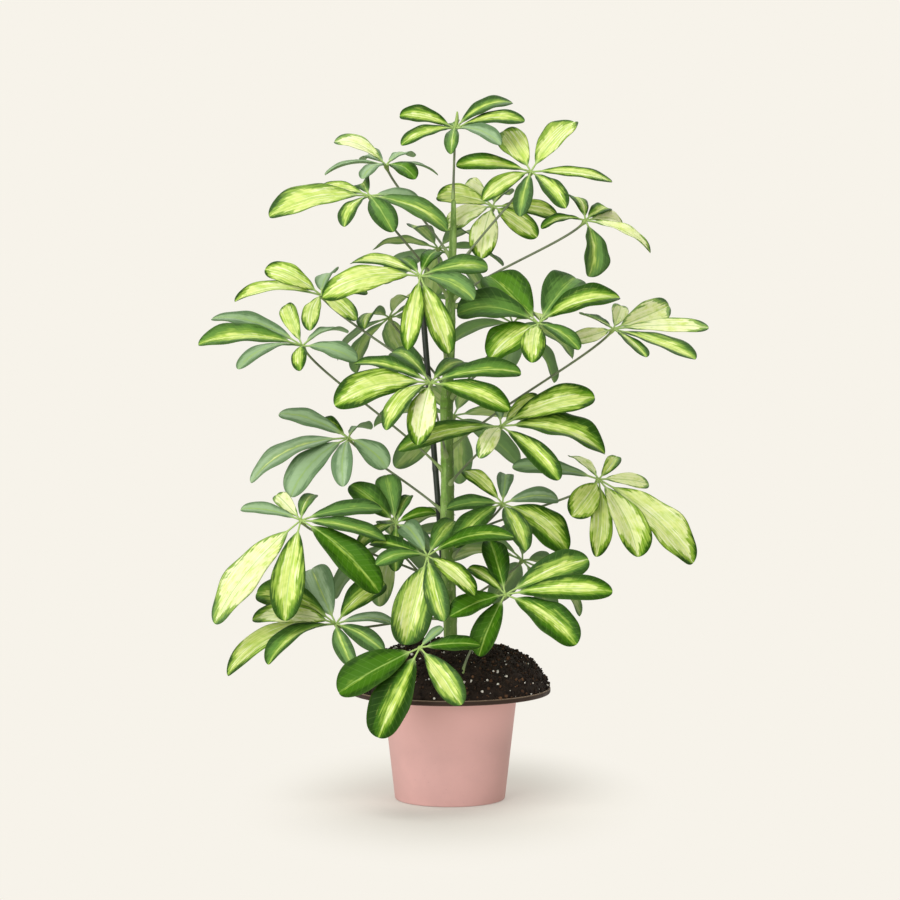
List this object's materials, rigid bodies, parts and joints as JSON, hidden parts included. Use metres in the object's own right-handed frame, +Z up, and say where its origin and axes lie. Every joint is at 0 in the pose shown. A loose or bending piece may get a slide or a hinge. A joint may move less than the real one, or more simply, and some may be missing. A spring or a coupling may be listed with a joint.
{
  "type": "potted umbrella plant",
  "caption": "Potted umbrella plant: variegated fans of leaflets on long stalks from one stem beside a dark cane, in a mound of compost over a tapered pink pot.",
  "frame": {"origin": "centre of the pink pot's foot, on the surface it stands on", "axes": "+Z up along the pot's axis, +X to the right as the picture shows the plant, -Y towards the viewer"},
  "size_m": [0.5072, 0.3171, 0.7021],
  "materials": {
    "pot": "smooth matt pink",
    "nursery_plastic": "brown moulded plastic, slightly worn at the rim",
    "compost": "dark crumbly compost with pale grains",
    "bark": "young green-brown bark with leaf scars",
    "cane": "dark stained support cane",
    "leaf": "glossy leaves, yellow and lime along the midrib and dark green at the margin"
  },
  "bodies": {
    "root": {"cane": "cane", "compost": "compost", "leaf_back_lower_left": "leaf", "leaf_back_lower_right": "leaf", "leaf_back_middle": "leaf", "leaf_back_top": "leaf", "leaf_back_upper_left": "leaf", "leaf_back_upper_right": "leaf", "leaf_bottom_left": "leaf", "leaf_bottom_middle": "leaf", "leaf_bottom_right": "leaf", "leaf_crown": "leaf", "leaf_far_left": "leaf", "leaf_far_lower_right": "leaf", "leaf_far_right": "leaf", "leaf_far_top_right": "leaf", "leaf_left": "leaf", "leaf_lower_left": "leaf", "leaf_lower_middle": "leaf", "leaf_lower_middle_left": "leaf", "leaf_lower_right": "leaf", "leaf_middle": "leaf", "leaf_right": "leaf", "leaf_top_left_lower": "leaf", "leaf_top_left_upper": "leaf", "leaf_top_middle": "leaf", "leaf_top_right": "leaf", "leaf_upper_left": "leaf", "leaf_upper_middle": "leaf", "leaf_upper_right": "leaf", "nursery_pot": "nursery_plastic", "pink_pot": "pot", "stem": "bark"}
  },
  "joints": []
}
